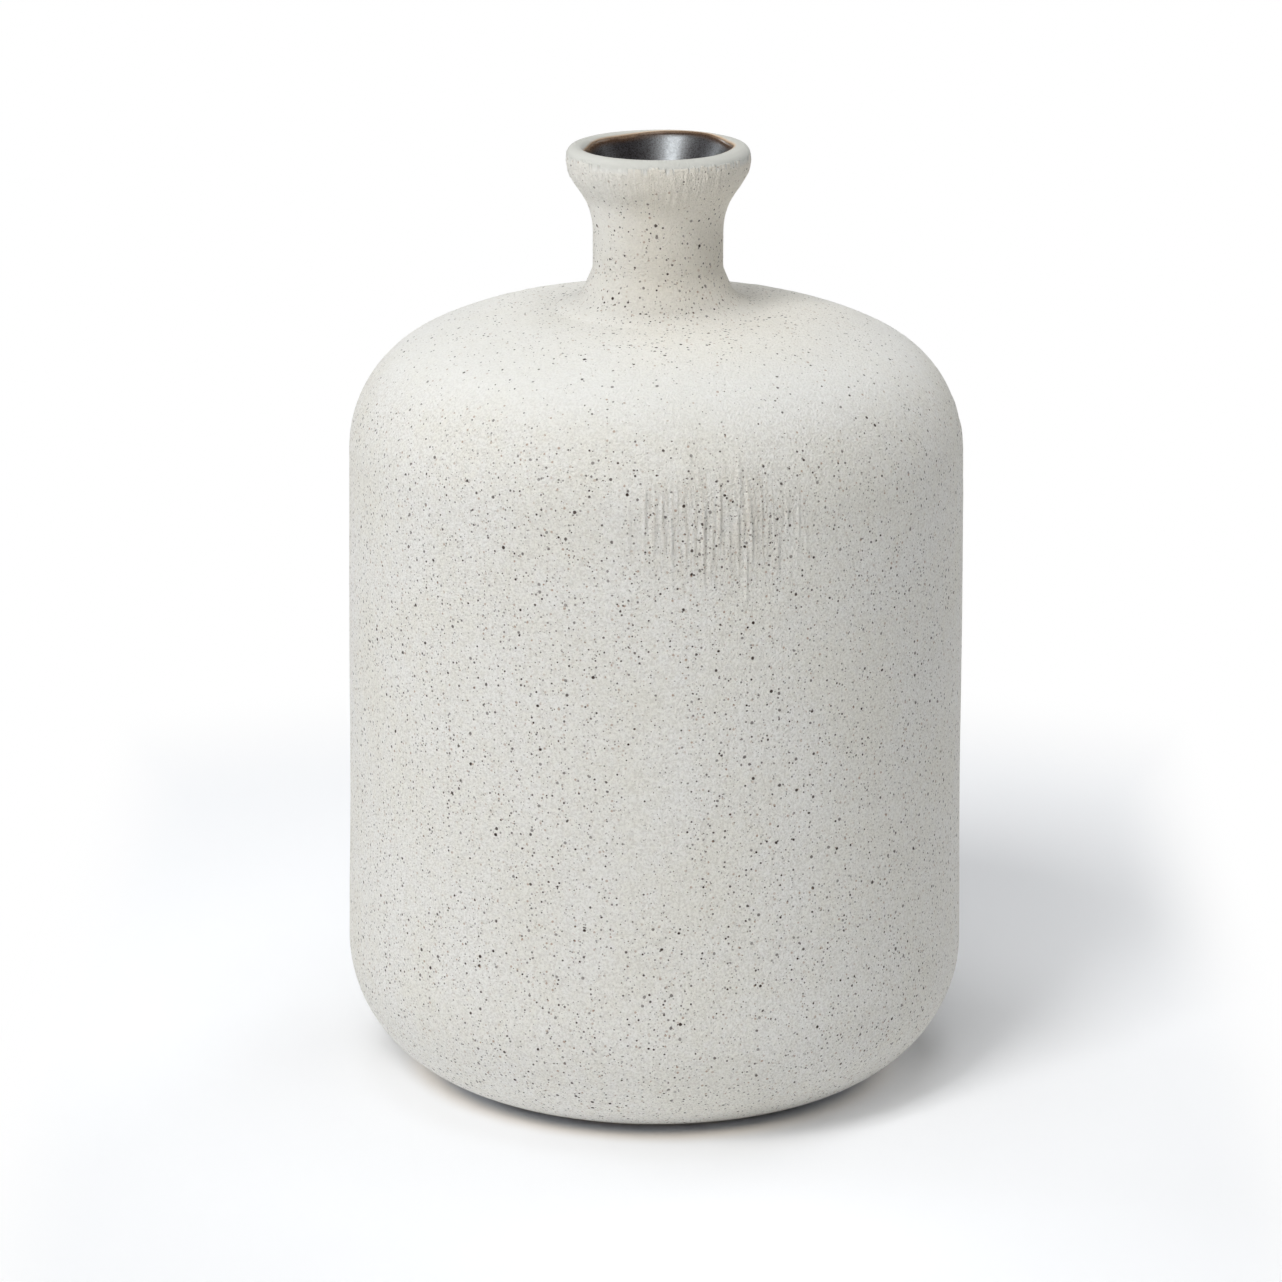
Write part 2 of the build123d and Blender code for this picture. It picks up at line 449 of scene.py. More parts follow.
def makeSlipCoat():
    inset = slip["faceInset"]
    hem = form["hemAngle"]
    corner = form["cornerRadius"]
    depth = form["coat"] - inset
    back = form["coat"]
    startX = cornerX + (corner - back) * cosine(hem)
    startZ = cornerZ - (corner - back) * sine(hem)
    pen = Pen(startX, startZ, 270 - hem)
    pen.bend(depth / 2, 180, slip["hemSteps"])          # the rounded hem
    pen.draw([(corner - inset, hem + form["wallLean"])], slip["fineness"])
    pen.draw(wallMoves(inset, form["neckFootRadius"] + inset), slip["fineness"])
    pen.draw(neckMoves(inset), slip["fineness"])
    lipSweep = coatEnd - form["lipTilt"]
    pen.draw([(form["lipRadius"] - inset, lipSweep)], slip["lipFineness"])
    facePoints = pen.points
    pen.heading += 90
    pen.straight(depth, 1)
    pen.heading += 90
    pen.draw([(form["lipRadius"] - back, -lipSweep)], slip["lipBackFineness"])
    pen.draw(backwards(neckMoves(back)), slip["backFineness"])
    pen.draw(backwards(wallMoves(back, form["neckFootRadius"] + back)), slip["backFineness"])
    pen.draw([(corner - back, -hem - form["wallLean"])], slip["backFineness"])
    piece = lathe("slip_skin", slip["columns"], facePoints)
    print("slip coat turned", len(piece.data.polygons), "faces")
    cuts, lipCut, neckFootCut = slip["cuts"], slip["lipCut"], slip["neckFootCut"]
    cutColumns(piece, cuts["patches"], lambda turn, z: patchShare(turn, z) > slip["patchCut"])
    cutColumns(piece, cuts["lip"], lambda turn, z: lipCut[0] < z < lipCut[1])
    cutColumns(piece, cuts["neckFoot"], lambda turn, z: neckFootCut[0] < z < neckFootCut[1])
    workSurface(piece)
    return piece


def cutColumns(piece, cuts, wanted):          # finer columns where strokes stand out on the face
    bpy.ops.object.mode_set(mode="EDIT")
    bpy.ops.mesh.select_all(action="DESELECT")
    bpy.ops.mesh.select_mode(type="EDGE")
    mesh = bmesh.from_edit_mesh(piece.data)
    face = piece.vertex_groups["face"].index
    weights = mesh.verts.layers.deform.active
    for edge in mesh.edges:
        first, second = edge.verts
        middle = (first.co + second.co) / 2 / mm
        level = abs(first.co.z - second.co.z) < levelWithin
        onFace = face in first[weights] and face in second[weights]
        turn = math.atan2(middle.x, -middle.y)
        if level and onFace and middle.xy.length > form["neckRadius"] and wanted(turn, middle.z):
            edge.select_set(True)
    bmesh.update_edit_mesh(piece.data)
    bpy.ops.mesh.subdivide(number_cuts=cuts)
    bpy.ops.mesh.select_mode(type="VERT")
    bpy.ops.object.mode_set(mode="OBJECT")
    print("columns cut", len(piece.data.polygons), "faces")


def lipFullness(turn, angle):                 # the roll of the lip is thicker inside on the right
    share = hump(math.degrees(turn), *slip["fillTurn"])
    return slip["lipFill"] * share * smooth(angle, *slip["fillAngle"])


def workSurface(piece):                       # moves the face's points as the maker's hand did
    mesh = piece.data
    for name in ("streak", "rim", "wiped"):
        mesh.attributes.new(name, "FLOAT", "POINT")
    streak, rim, wiped = [mesh.attributes[name].data for name in ("streak", "rim", "wiped")]
    face = piece.vertex_groups["face"].index
    moved = []
    for vertex in mesh.vertices:
        x, y, z = vertex.co / mm
        radius, turn = math.hypot(x, y), math.atan2(x, -y)
        outward = Vector((math.sin(turn), -math.cos(turn), 0))
        angle, depth = lipSpot(radius, z)
        out, share, wipe, edge = 0.0, 0.0, 0.0, slip["farEdge"]
        if any(group.group == face for group in vertex.groups):
            out, share, wipe = slipRelief(turn, radius, z)
            out *= smooth(z, *slip["reliefFrom"])
        if slip["skin"][0] < depth < slip["skin"][1] and angle > form["lipTilt"]:
            end = edgeAngle(turn) - math.degrees(glazeEdge["gap"] / form["lipRadius"])
            sweep = (angle - form["lipTilt"]) / (coatEnd - form["lipTilt"])
            angle = form["lipTilt"] + sweep * (end - form["lipTilt"])
            edge = -edgeDistance(angle, turn)
            if depth < form["coat"] - slip["faceMargin"]:
                depth += slip["thinEdge"] * (1 - smooth(edge, 0.0, slip["thinReach"]))
                depth -= out * smooth(edge, slip["thinReach"], slip["calmReach"])
                depth -= lipFullness(turn, angle)
            radius, z = lipPlace(angle, depth)
            place = outward * radius + Vector((0, 0, z))
        else:
            place = vertex.co / mm + vertex.normal * out
            across, up = radius - cornerX, z - cornerZ
            hemShare = 1 - smooth(math.degrees(math.atan2(up, across)), *slip["hemSpan"])
            if z < cornerZ and hemShare > 0:      # the hem wanders along the corner's arc
                wave = slip["hemWave"] * noise.noise(outward * slip["hemWaveCount"])
                swing = math.radians(wave * hemShare)
                place += outward * (across * (math.cos(swing) - 1) - up * math.sin(swing))
                place += Vector((0, 0, across * math.sin(swing) + up * (math.cos(swing) - 1)))
        place += Vector((neckShift(z), 0, lipDrop(place.x, z)))
        moved.append(place * mm)
        streak[vertex.index].value = share
        rim[vertex.index].value = edge
        wiped[vertex.index].value = wipe
    for vertex, place in zip(mesh.vertices, moved):
        vertex.co = place
    mesh.update()
    bpy.ops.object.shade_smooth()


# Glaze lining
glaze = {
    "columns": 192,
    "fineness": 0.5,
    "bodyFineness": 7.0,
    "edgeSteps": 3,
    "edgeRound": 0.9,                         # the glaze thickens over this distance from its edge
    "edgeDepth": 0.2,
    "flowDown": 8.0,                          # only points this near to the lip's centre are moved
    "skin": 0.6,                              # and only to this depth
    "farEdge": 9.0,                           # distance from the slip given to all other points
}


def makeGlazeLining():
    face = clayInside + form["lining"]
    edgeFace = form["throatEdgeRadius"] + form["lining"]
    footFace = form["funnelFootRadius"] + form["lining"]
    startX, startZ = lipPlace(coatEnd, 0)
    pen = Pen(startX, startZ, coatEnd + 90)
    pen.draw(backwards(mouthMoves(face, footFace, edgeFace)), glaze["fineness"])
    pen.draw(backwards(wallMoves(face, edgeFace)), glaze["bodyFineness"])
    floorZ = form["floorHeight"] + form["lining"]
    baseRadius = (pen.z - floorZ) / (1 + sine(form["wallLean"]))
    pen.draw([(baseRadius, -90 - form["wallLean"])], glaze["bodyFineness"])
    pen.draw([(0, pen.x)], glaze["bodyFineness"])
    facePoints = pen.points
    pen.heading = -90
    pen.straight(form["lining"], 1)
    pen.heading = 0
    footX = cornerX + (form["cornerRadius"] - clayInside) * cosine(form["wallLean"])
    footZ = cornerZ + (form["cornerRadius"] - clayInside) * sine(form["wallLean"])
    backRadius = (footZ - form["floorHeight"]) / (1 + sine(form["wallLean"]))
    pen.draw([(0, footX - backRadius * cosine(form["wallLean"]))], glaze["bodyFineness"])
    pen.draw([(backRadius, 90 + form["wallLean"])], glaze["bodyFineness"])
    pen.draw(wallMoves(clayInside, form["throatEdgeRadius"]), glaze["bodyFineness"])
    pen.draw(mouthMoves(clayInside, form["funnelFootRadius"], form["throatEdgeRadius"]),
             glaze["fineness"])
    pen.bend(form["lining"] / 2, 180, glaze["edgeSteps"])      # the glaze's rounded edge
    piece = lathe("glaze_skin", glaze["columns"], facePoints)
    print("glaze lining turned", len(piece.data.polygons), "faces")
    return piece


def flowGlaze(piece):                         # draws the glaze up to its uneven edge on the lip
    mesh = piece.data
    rim = mesh.attributes.new("rim", "FLOAT", "POINT").data
    face = piece.vertex_groups["face"].index
    for vertex in mesh.vertices:
        x, y, z = vertex.co / mm
        radius, turn = math.hypot(x, y), math.atan2(x, -y)
        angle, depth = lipSpot(radius, z)
        edge = glaze["farEdge"]
        if z > lipZ - glaze["flowDown"] and depth < glaze["skin"]:
            if angle < glazeEdge["flow"]:
                sweep = (glazeEdge["flow"] - angle) / (glazeEdge["flow"] - coatEnd)
                angle = glazeEdge["flow"] - sweep * (glazeEdge["flow"] - edgeAngle(turn))
            edge = edgeDistance(angle, turn)
            if any(group.group == face for group in vertex.groups):
                depth += glaze["edgeDepth"] * (1 - smooth(edge, 0.0, glaze["edgeRound"]))
            radius, z = lipPlace(angle, depth)
            x, y = math.sin(turn) * radius + neckShift(z), -math.cos(turn) * radius
            vertex.co = Vector((x, y, z + lipDrop(x, z))) * mm
        rim[vertex.index].value = edge
    mesh.update()
    bpy.ops.object.shade_smooth()


# Materials
class Wire:                                   # a socket that sums can be written with
    def __init__(self, socket):
        self.socket = socket

    def maths(self, operation, first, second=0.0):
        inputs = {0: first, 1: second}
        return addNode(self.socket.id_data, "ShaderNodeMath", {"operation": operation}, inputs)

    def __add__(self, other):
        return self.maths("ADD", self, other)

    def __sub__(self, other):
        return self.maths("SUBTRACT", self, other)

    def __rsub__(self, other):
        return self.maths("SUBTRACT", other, self)

    def __mul__(self, other):
        return self.maths("MULTIPLY", self, other)

    def __truediv__(self, other):
        return self.maths("DIVIDE", self, other)

    def __lt__(self, other):
        return self.maths("LESS_THAN", self, other)

    __radd__ = __add__

    def output(self, name):                   # another output of the same node
        return Wire(self.socket.node.outputs[name])


def addNode(tree, kind, settings, inputs, output=0):
    node = tree.nodes.new(kind)
    for name, value in settings.items():
        setattr(node, name, value)
    for name, value in inputs.items():
        if isinstance(value, Wire):
            tree.links.new(value.socket, node.inputs[name])
        else:
            node.inputs[name].default_value = value
    return Wire(node.outputs[output]) if output is not None else node


def easedNode(tree, value, low, high, start=0.0, end=1.0):
    inputs = {"Value": value, "From Min": low, "From Max": high, "To Min": start, "To Max": end}
    return addNode(tree, "ShaderNodeMapRange", {"interpolation_type": "SMOOTHSTEP"}, inputs)


def mixedNode(tree, share, first, second, blend="MIX"):     # 6, 7 and 2 are its colour sockets
    settings = {"data_type": "RGBA", "blend_type": blend}
    return addNode(tree, "ShaderNodeMix", settings, {0: share, 6: first, 7: second}, 2)


class Finish:                                 # a material and the patterns that it is made of
    def __init__(self, name, fixed):
        self.material = bpy.data.materials.new(name)
        self.material.use_nodes = True
        self.tree = self.material.node_tree
        self.shader = self.tree.nodes["Principled BSDF"]
        for socket, value in fixed.items():
            self.shader.inputs[socket].default_value = value
        metres = self.add("ShaderNodeTexCoord", {}, {}, "Object")
        self.place = self.vector("SCALE", metres, Scale=1 / mm)
        self.x = self.add("ShaderNodeSeparateXYZ", {}, {"Vector": self.place}, "X")
        self.z = self.x.output("Z")
        flat = self.vector("MULTIPLY", self.place, (1, 1, 0))
        self.radius = self.vector("LENGTH", flat).output("Value")
        self.around = self.vector("NORMALIZE", flat)

    def add(self, kind, settings, inputs, output=0):
        return addNode(self.tree, kind, settings, inputs, output)

    def vector(self, operation, first, second=(0, 0, 0), **named):
        inputs = {0: first, 1: second, **named}
        return self.add("ShaderNodeVectorMath", {"operation": operation}, inputs)

    def attribute(self, name):
        return self.add("ShaderNodeAttribute", {"attribute_name": name}, {}, "Fac")

    def noise(self, place, size, detail, roughness=0.5):
        inputs = {"Vector": place, "Scale": 1 / size, "Detail": detail, "Roughness": roughness}
        return self.add("ShaderNodeTexNoise", {}, inputs)

    def grain(self, size, detail, roughness=0.5):
        return self.noise(self.place, size, detail, roughness)

    def eased(self, value, low, high, start=0.0, end=1.0):
        return easedNode(self.tree, value, low, high, start, end)

    def mixed(self, share, first, second, blend="MIX"):
        return mixedNode(self.tree, share, first, second, blend)

    def streaks(self, pitch, length):         # lines that run up the wall and in over the crown
        across = self.vector("SCALE", self.around, Scale=form["bodyRadius"] / pitch)
        along = (self.z - self.radius) / length
        up = self.add("ShaderNodeCombineXYZ", {}, {"Z": along})
        return self.noise(self.vector("ADD", across, up), 1.0, 1.0)

    def specks(self, cell, smallest, largest, chance):      # where they are, and a lot for each
        stirred = self.grain(cell * speckShape["raggedSize"], 1.0).output("Color")
        shift = self.vector("SCALE", self.vector("SUBTRACT", stirred, (0.5, 0.5, 0.5)),
                            Scale=smallest * speckShape["ragged"])
        place = self.vector("ADD", self.place, shift)
        cells = self.add("ShaderNodeTexVoronoi", {}, {"Vector": place, "Scale": 1 / cell})
        lots = self.add("ShaderNodeSeparateColor", {}, {"Color": cells.output("Color")})
        reach = self.eased(lots, 0, 1, smallest / cell, largest / cell)
        inside = self.eased(cells / reach, *speckShape["edge"])
        drawn = lots.output("Green") < chance
        return inside * drawn, lots.output("Blue")

    def link(self, socket, value):
        self.tree.links.new(value.socket, self.shader.inputs[socket])

    def bump(self, height):                   # height in millimetres
        inputs = {"Height": height, "Distance": mm, "Strength": 1.0}
        self.link("Normal", self.add("ShaderNodeBump", {}, inputs))


# shares of a speck's cell, of its smallest radius, and of its radius
speckShape = {"raggedSize": 0.35, "ragged": 1.2, "edge": (1.15, 0.75)}


def shade(red, green, blue):                  # a colour as picked on screen, from 0 to 255
    levels = [value / 255 for value in (red, green, blue)]
    return (*[((v + 0.055) / 1.055) ** 2.4 if v > 0.04045 else v / 12.92 for v in levels], 1.0)


# a tint comes in between two levels of its pattern, or two heights, radii or X in millimetres
slipFinish = {
    "fixed": {"Specular IOR Level": 0.25, "Roughness": 0.88},
    "colour": shade(234, 233, 229),
    "warmer": shade(231, 229, 221),
    "warmerFrom": (0.35, 0.65),
    "cloud": (22.0, 3.0, 0.6),                # of each pattern: size, detail, roughness
    "blotch": (2.2, 3.0, 0.6),
    "cloudShare": 0.6,
    "brush": (0.62, 9.0),                     # pitch and length of the brush lines
    "brushFrom": (0.35, 0.7),
    "streakTint": shade(206, 198, 184),
    "streakShare": 0.35,
    "sandTint": shade(176, 170, 160),
    "sandShare": 0.35,
    "sand": (0.55, 2.0, 0.7),
    "sandFrom": (0.60, 0.35),
    "bareHem": (1.2, 2.2),                    # the sand and the specks begin between these heights
    # painted light: the crown's colour is painted paler, as where the top light falls
    "crown": shade(241, 241, 238),
    "crownLightShare": 0.55,
    "crownLightFrom": (158, 170),
    "warmerNeck": (0.985, 0.945, 0.88, 1.0),     # how the neck's colour is scaled warmer, more so towards the right
    "warmerNeckFrom": (168, 184),
    "warmerNeckAcross": (-14, 0, 0.35, 1.0),
    # painted shade: the neck's colour is scaled darker
    "neck": (0.93, 0.93, 0.93, 1.0),
    "neckRadius": (25, 17),
    "neckShadeUpTo": (200, 190),
    "smoothLip": shade(205, 205, 199),
    "paintedBounce": (1.14, 1.14, 1.14, 1.0),       # painted light: the wall is painted paler low on the left, where the floor's bounce lights it
    "paintedBounceUpTo": (20, 5),
    "paintedBounceAcross": (28, 6),
    # painted reflection: the hem is painted pale bluish where it mirrors the floor
    "hemReflection": shade(222, 225, 230),
    "hemReflectionUpTo": (2.2, 1.2),
    "fleshEdge": shade(208, 180, 150),
    "fleshReach": (0.9, 0.1),                 # distance from the glaze
    "relief": {"sand": 0.40, "grit": 0.16, "lumps": 0.12, "brush": 0.22},
    "grit": (0.3, 1.0),
    "lumps": (2.6, 2.0),
    "streakRelief": 0.3,                      # how much rougher the streaked places are
    "smoothRelief": 0.08,                     # what is left of the relief where the slip is wiped
    # the specks thin out over the crown, near the hem and up the bell
    "sparse": 0.26,
    "sparseFrom": (150, 166),
    "sparseUpTo": (170, 180),
    "hemSpecks": (2.5, 12, 0.6, 1.0),
    "bellSpecks": (190, 203, 1.0, 0.3),
    "streakSpecks": 0.25,
    # specks: cell size, smallest and largest radius, chance, faintest, strongest, colour
    "specks": [
        (1.90, 0.24, 0.40, 0.42, 0.60, 1.00, shade(64, 52, 46)),
        (1.15, 0.15, 0.27, 0.72, 0.50, 1.00, shade(68, 56, 50)),
        (0.80, 0.10, 0.18, 0.75, 0.35, 0.90, shade(110, 96, 86)),
        (1.30, 0.16, 0.32, 0.55, 0.30, 0.70, shade(160, 130, 106)),
    ],
}


def makeSlipFinish():
    look = slipFinish
    finish = Finish("sandySlip", look["fixed"])
    rim, streak, wiped = [finish.attribute(name) for name in ("rim", "streak", "wiped")]
    x, z = finish.x, finish.z
    coarse = (1 - wiped) * finish.eased(z, *look["bareHem"])
    brush = finish.streaks(*look["brush"])
    sand = finish.grain(*look["sand"])

    share = look["cloudShare"]
    clouds = finish.grain(*look["cloud"]) * share + finish.grain(*look["blotch"]) * (1 - share)
    colour = finish.mixed(finish.eased(clouds, *look["warmerFrom"]), look["colour"], look["warmer"])
    lines = finish.eased(brush, *look["brushFrom"]) * streak * look["streakShare"]
    colour = finish.mixed(lines, colour, look["streakTint"])
    grains = finish.eased(sand, *look["sandFrom"]) * coarse * look["sandShare"]
    colour = finish.mixed(grains, colour, look["sandTint"])
    # painted light: the crown painted paler
    paintedTopLight = finish.eased(z, *look["crownLightFrom"]) * look["crownLightShare"]
    colour = finish.mixed(paintedTopLight, colour, look["crown"])
    # the neck's colour scaled warmer, more so towards the right
    warmerNeck = finish.eased(z, *look["warmerNeckFrom"]) * finish.eased(x, *look["warmerNeckAcross"])
    colour = finish.mixed(warmerNeck * coarse, colour, look["warmerNeck"], "MULTIPLY")
    # painted shade on the neck
    shaded = finish.eased(finish.radius, *look["neckRadius"]) * finish.eased(z, *look["neckShadeUpTo"])
    colour = finish.mixed(shaded, colour, look["neck"], "MULTIPLY")
    colour = finish.mixed(wiped, colour, look["smoothLip"])
    # painted light: paler low on the left, standing in for the floor's bounce
    paintedBounce = finish.eased(z, *look["paintedBounceUpTo"]) * finish.eased(x, *look["paintedBounceAcross"])
    colour = finish.mixed(paintedBounce, colour, look["paintedBounce"], "MULTIPLY")
    # painted reflection of the floor on the hem
    colour = finish.mixed(finish.eased(z, *look["hemReflectionUpTo"]), colour, look["hemReflection"])

    sparse = look["sparse"]
    chance = finish.eased(z, *look["sparseFrom"], 1.0, sparse)
    chance = chance + finish.eased(z, *look["sparseUpTo"]) * (1 - sparse)
    chance = chance * coarse * finish.eased(z, *look["hemSpecks"])
    chance = chance * finish.eased(z, *look["bellSpecks"]) * (1 + streak * look["streakSpecks"])
    for cell, smallest, largest, drawn, faint, strong, tint in look["specks"]:
        dots, lot = finish.specks(cell, smallest, largest, chance * drawn)
        colour = finish.mixed(dots * finish.eased(lot, 0, 1, faint, strong), colour, tint)
    colour = finish.mixed(finish.eased(rim, *look["fleshReach"]), colour, look["fleshEdge"])
    finish.link("Base Color", colour)

    relief, smoothed = look["relief"], look["smoothRelief"]
    height = sand * relief["sand"] + finish.grain(*look["grit"]) * relief["grit"]
    height = height * (1 + streak * look["streakRelief"])
    height = height + finish.grain(*look["lumps"]) * relief["lumps"]
    height = height * (coarse * (1 - smoothed) + smoothed)
    finish.bump(height + brush * streak * relief["brush"])
    return finish.material


glazeFinish = {
    "fixed": {
        "Specular IOR Level": 1.0,
        "Specular Tint": (0.90, 0.96, 1.0, 1.0),
        "Coat Weight": 1.0,
        "Coat Roughness": 0.42,
        "Coat IOR": 1.8,
        "Coat Tint": (0.93, 0.97, 1.0, 1.0),
    },
    # distances from the edge, over which the thin glaze turns brown and then dark
    "thin": shade(136, 108, 84),
    "brown": shade(76, 54, 38),
    "brownFrom": (0.1, 0.7),
    "dark": shade(34, 29, 30),
    "darkFrom": (0.7, 2.0),
    "ragged": 0.9,
    "raggedGrain": (1.6, 2.0),
    "mottle": (0.34, 2.0, 0.6),
    # grey crystals in the glaze, with painted sheen: the grey mottle stands partly for the rough
    # glaze's glints
    "crystalsAndSheen": shade(92, 88, 92),
    "crystalsAndSheenShare": 0.45,
    "crystalsAndSheenMottle": (0.5, 0.66),
    "crystalsAndSheenFrom": (0.8, 2.2),
    "roughness": (0.3, 0.7, 0.22, 0.40),      # the mottle's lowest and highest, and the roughness
    "peel": (0.6, 2.0),
    "peelRelief": 0.035,
}


def makeGlazeFinish():
    look = glazeFinish
    finish = Finish("darkGlaze", look["fixed"])
    rim = finish.attribute("rim")
    ragged = finish.grain(*look["raggedGrain"]) * look["ragged"]
    stirred = rim + ragged - look["ragged"] / 2
    colour = finish.mixed(finish.eased(stirred, *look["brownFrom"]), look["thin"], look["brown"])
    colour = finish.mixed(finish.eased(stirred, *look["darkFrom"]), colour, look["dark"])
    mottle = finish.grain(*look["mottle"])
    # crystals with painted sheen
    crystalsAndSheen = finish.eased(mottle, *look["crystalsAndSheenMottle"])
    crystalsAndSheen = crystalsAndSheen * finish.eased(rim, *look["crystalsAndSheenFrom"]) * look["crystalsAndSheenShare"]
    colour = finish.mixed(crystalsAndSheen, colour, look["crystalsAndSheen"])
    finish.link("Base Color", colour)
    finish.link("Roughness", finish.eased(mottle, *look["roughness"]))
    finish.bump(finish.grain(*look["peel"]) * look["peelRelief"])
    return finish.material


clayFinish = {
    "fixed": {"Specular IOR Level": 0.25, "Roughness": 0.9},
    "colour": shade(196, 172, 146),
    "darker": shade(176, 148, 122),
    "darkerFrom": (0.35, 0.65),
    "cloud": (6.0, 3.0, 0.6),
    # specks: cell size, smallest and largest radius, chance, colour
    "specks": [(3.4, 0.25, 0.5, 0.4, shade(80, 60, 46)), (1.8, 0.14, 0.28, 0.4, shade(120, 94, 74))],
    "speckStrength": (0.5, 0.9),
    "rings": (1.1, 1.0),
    "ringRelief": 0.05,
    "sand": (0.6, 2.0),
    "sandRelief": 0.04,
}


def makeClayFinish():
    look = clayFinish
    finish = Finish("firedClay", look["fixed"])
    cloud = finish.eased(finish.grain(*look["cloud"]), *look["darkerFrom"])
    colour = finish.mixed(cloud, look["colour"], look["darker"])
    for cell, smallest, largest, chance, tint in look["specks"]:
        dots, lot = finish.specks(cell, smallest, largest, chance)
        colour = finish.mixed(dots * finish.eased(lot, 0, 1, *look["speckStrength"]), colour, tint)
    finish.link("Base Color", colour)
    across = finish.add("ShaderNodeCombineXYZ", {}, {"X": finish.radius})
    rings = finish.noise(across, *look["rings"]) * look["ringRelief"]
    finish.bump(rings + finish.grain(*look["sand"]) * look["sandRelief"])
    return finish.material


slipSkin = makeSlipCoat()
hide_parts("slip_coat")
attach(slipSkin, "root")
glazeSkin = makeGlazeLining()
flowGlaze(glazeSkin)
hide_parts("glaze_lining")
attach(glazeSkin, "root")


def dress(piece, material):
    piece.data.materials.clear()
    piece.data.materials.append(material)


dress(slipSkin, makeSlipFinish())
dress(glazeSkin, makeGlazeFinish())
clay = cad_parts["stoneware_body"]
for materialSlot in clay.material_slots:
    materialSlot.material = makeClayFinish()
print("finishes made")

# Studio
studio = {
    "distance": 1.1197,                       # of the camera in front of the vase's axis
    "height": 0.42143,
    "aside": -0.0033,
    "pitch": 16.0857,                         # degrees below level
    "roll": 0.1967,
    "lens": 144.746,
    "sensor": 36.0,
    "farthest": 50.0,
    "aim": 0.1,                               # height that the lamps point at
    "unmirrored": ("top", "rightBack"),       # lamps that the glaze doesn't mirror
    "floorSize": 12.0,
    "floorColour": (0.955, 0.963, 0.982, 1.0),
    "white": (0.21, 0.31),                    # metres from the vase over which the floor turns white
    "whiteAside": (0.118, 0.152),             # the same, measured to the sides only
    # painted light: a glow that only the camera sees paints the floor paler in a ring around the
    # front of the foot, and warmer next to the foot
    "ring": 0.41,
    "ringInner": (0.050, 0.056),
    "ringOuter": (0.058, 0.076),
    "ringRight": (0.008, 0.040, 1.0, 0.3),    # it is fainter on the right
    "ringBack": (-0.02, 0.01),                # and ends beside the vase
    "glowWarmth": (1.0, 0.84, 0.66, 1.0),
    "glowWarmthUpTo": (0.050, 0.060),
}
# each lamp: watts, degrees left of the camera, degrees up, distance, size, colour
lamps = {
    "key": (37.4, 34, 52, 3.0, 0.9, (1.0, 0.995, 0.985)),
    "frontKey": (16.4, 15, 44, 3.0, 1.5, (1.0, 0.995, 0.985)),
    "top": (21.5, 0, 86, 2.2, 1.5, (0.975, 0.99, 1.0)),
    "left": (14.0, 112, 15, 2.2, 1.2, (0.97, 0.985, 1.0)),
    "lowFront": (6.8, 30, 4, 2.2, 1.2, (0.99, 0.995, 1.0)),
    "right": (3.9, -100, 20, 2.2, 1.2, (1.0, 0.99, 0.97)),
    "rightBack": (11.4, -135, 20, 2.2, 1.2, (0.985, 0.99, 1.0)),
}


def makeCamera():
    bpy.ops.object.camera_add()
    camera = bpy.context.object
    camera.name = "camera"
    camera.data.lens = studio["lens"]
    camera.data.sensor_width = studio["sensor"]
    camera.data.clip_end = studio["farthest"]
    place = Matrix.Translation((studio["aside"], -studio["distance"], studio["height"]))
    pitch = Matrix.Rotation(math.radians(90 - studio["pitch"]), 4, "X")
    camera.matrix_world = place @ pitch @ Matrix.Rotation(math.radians(studio["roll"]), 4, "Z")
    bpy.context.scene.camera = camera


def makeLamp(name, watts, turn, rise, distance, size, colour):
    towards = Vector((-sine(turn) * cosine(rise), -cosine(turn) * cosine(rise), sine(rise)))
    aim = Vector((0, 0, studio["aim"]))
    bpy.ops.object.light_add(type="AREA", location=aim + towards * distance)
    lamp = bpy.context.object
    lamp.name = lamp.data.name = name
    lamp.rotation_euler = towards.to_track_quat("Z", "Y").to_euler()
    lamp.data.energy = watts
    lamp.data.size = size
    lamp.data.color = colour
    lamp.visible_glossy = name not in studio["unmirrored"]


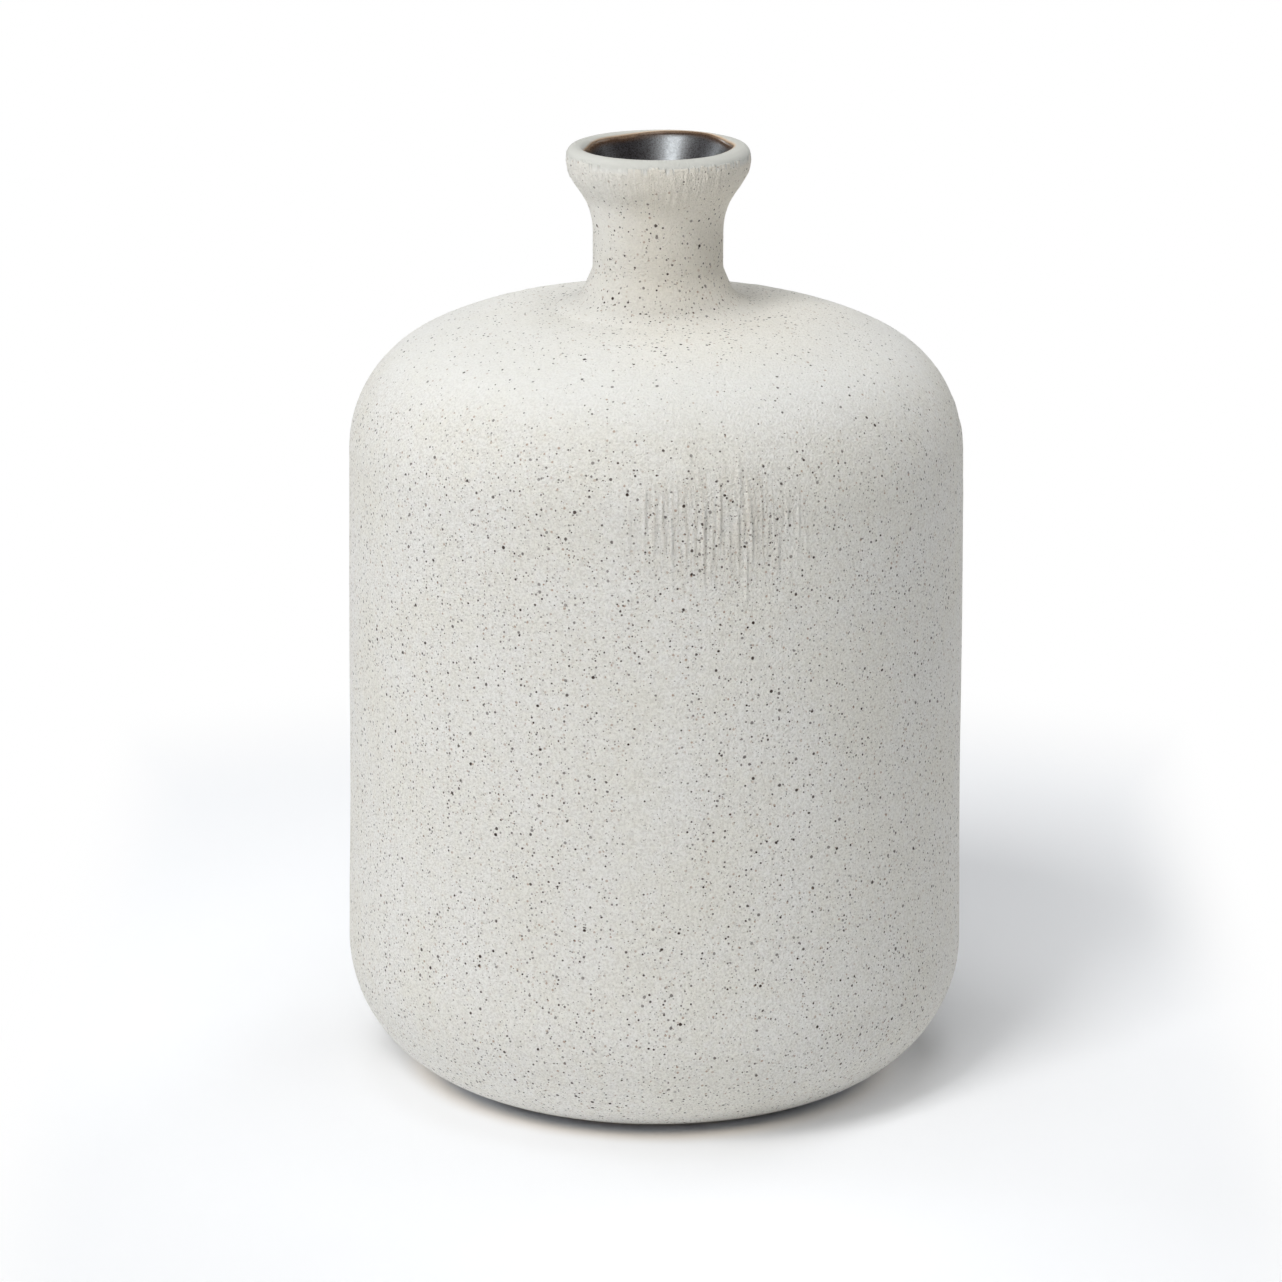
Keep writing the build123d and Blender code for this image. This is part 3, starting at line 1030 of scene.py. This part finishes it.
def makeFloor():
    bpy.ops.mesh.primitive_plane_add(size=studio["floorSize"])
    floor = bpy.context.object
    floor.name = floor.data.name = "floor"
    material = bpy.data.materials.new("paleFloor")
    material.use_nodes = True
    tree = material.node_tree
    tree.nodes.clear()
    plain = addNode(tree, "ShaderNodeBsdfDiffuse", {}, {"Color": studio["floorColour"]})
    white = addNode(tree, "ShaderNodeEmission", {}, {"Strength": 1.0})
    place = addNode(tree, "ShaderNodeTexCoord", {}, {}, "Object")
    away = addNode(tree, "ShaderNodeVectorMath", {"operation": "LENGTH"}, {0: place}, "Value")
    across = addNode(tree, "ShaderNodeSeparateXYZ", {}, {"Vector": place}, "X")
    behind = across.output("Y")
    aside = across.maths("ABSOLUTE", across)
    # painted light: the glow ring and its warm tint, seen by the camera only
    ring = easedNode(tree, away, *studio["ringInner"], 0.0, studio["ring"])
    ring = ring * easedNode(tree, away, *studio["ringOuter"], 1.0, 0.0)
    ring = ring * easedNode(tree, across, *studio["ringRight"])
    ring = ring * easedNode(tree, behind, *studio["ringBack"], 1.0, 0.0)
    warmth = easedNode(tree, away, *studio["glowWarmthUpTo"])
    tint = mixedNode(tree, warmth, studio["glowWarmth"], (1, 1, 1, 1))
    glow = addNode(tree, "ShaderNodeEmission", {}, {"Color": tint, "Strength": 1.0})
    near = addNode(tree, "ShaderNodeMixShader", {}, {0: ring, 1: plain, 2: glow})
    far = easedNode(tree, away, *studio["white"])
    far = far.maths("MAXIMUM", far, easedNode(tree, aside, *studio["whiteAside"]))
    seen = addNode(tree, "ShaderNodeMixShader", {}, {0: far, 1: near, 2: white})
    rays = addNode(tree, "ShaderNodeLightPath", {}, {}, "Is Camera Ray")
    mixed = addNode(tree, "ShaderNodeMixShader", {}, {0: rays, 1: plain, 2: seen})
    addNode(tree, "ShaderNodeOutputMaterial", {}, {"Surface": mixed}, None)
    floor.data.materials.append(material)


def makeWorld():
    world = bpy.data.worlds.new("studio")
    bpy.context.scene.world = world
    world.use_nodes = True
    tree = world.node_tree
    tree.nodes.clear()
    dark = addNode(tree, "ShaderNodeBackground", {}, {"Color": (1, 1, 1, 1), "Strength": 0.0})
    white = addNode(tree, "ShaderNodeBackground", {}, {"Color": (1, 1, 1, 1), "Strength": 1.0})
    rays = addNode(tree, "ShaderNodeLightPath", {}, {}, "Is Camera Ray")
    mixed = addNode(tree, "ShaderNodeMixShader", {}, {0: rays, 1: dark, 2: white})
    addNode(tree, "ShaderNodeOutputWorld", {}, {"Surface": mixed}, None)


makeCamera()
for lampName, settings in lamps.items():
    makeLamp(lampName, *settings)
makeFloor()
makeWorld()
bpy.context.scene.view_settings.view_transform = "Standard"
print("studio set")
